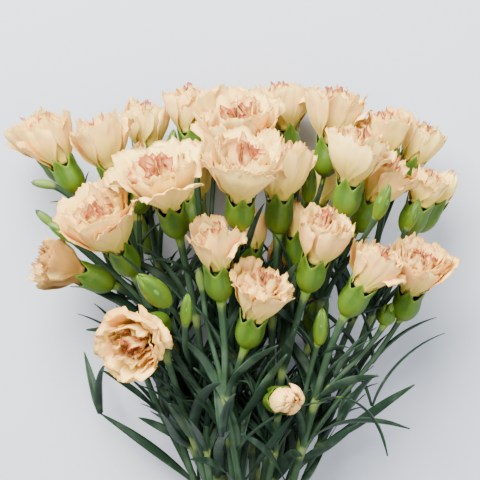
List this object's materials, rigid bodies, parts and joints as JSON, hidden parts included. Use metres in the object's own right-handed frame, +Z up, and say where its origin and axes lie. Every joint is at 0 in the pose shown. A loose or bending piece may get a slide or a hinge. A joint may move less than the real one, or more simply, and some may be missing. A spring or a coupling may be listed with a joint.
{
  "type": "bunch of cut spray carnations",
  "caption": "Banded bunch of cut spray carnations with peach and cream ruffled heads, green calyxes, shut buds and blue-green stems and leaves, lying down.",
  "frame": {"origin": "middle of the bounding box, on the surface that the bunch lies on", "axes": "+Y from the cut ends to the flowers, +Z up from the surface, +X to the right as seen from above with the flowers at the top"},
  "size_m": [0.2254, 0.3774, 0.1166],
  "materials": {
    "petals": "soft, thin petals, peach and cream with pinkish edges",
    "foliage": "waxy blue-green stems and leaves, brighter green calyxes and buds",
    "rubber": "matt tan rubber band"
  },
  "bodies": {
    "root": {"half_open_petals_01": "petals", "half_open_petals_02": "petals", "half_open_petals_03": "petals", "half_open_petals_04": "petals", "half_open_petals_05": "petals", "half_open_petals_06": "petals", "half_open_petals_07": "petals", "half_open_petals_08": "petals", "half_open_petals_09": "petals", "half_open_petals_10": "petals", "half_open_petals_11": "petals", "half_open_petals_12": "petals", "half_open_petals_13": "petals", "half_open_petals_14": "petals", "half_open_petals_15": "petals", "half_open_petals_16": "petals", "half_open_petals_17": "petals", "half_open_petals_18": "petals", "half_open_petals_19": "petals", "half_open_petals_20": "petals", "half_open_petals_21": "petals", "open_petals_01": "petals", "open_petals_02": "petals", "open_petals_03": "petals", "open_petals_04": "petals", "open_petals_05": "petals", "open_petals_06": "petals", "open_petals_07": "petals", "opening_petals_01": "petals", "opening_petals_02": "petals", "opening_petals_03": "petals", "opening_petals_04": "petals", "opening_petals_05": "petals", "opening_petals_06": "petals", "opening_petals_07": "petals", "rubber_band": "rubber", "spray_01": "foliage", "spray_02": "foliage", "spray_03": "foliage", "spray_04": "foliage", "spray_05": "foliage", "spray_06": "foliage", "spray_07": "foliage", "spray_08": "foliage", "spray_09": "foliage", "spray_10": "foliage", "spray_11": "foliage", "spray_12": "foliage", "spray_13": "foliage", "spray_14": "foliage", "spray_15": "foliage", "spray_16": "foliage", "spray_17": "foliage", "spray_18": "foliage", "spray_19": "foliage", "spray_20": "foliage", "spray_21": "foliage"}
  },
  "joints": []
}
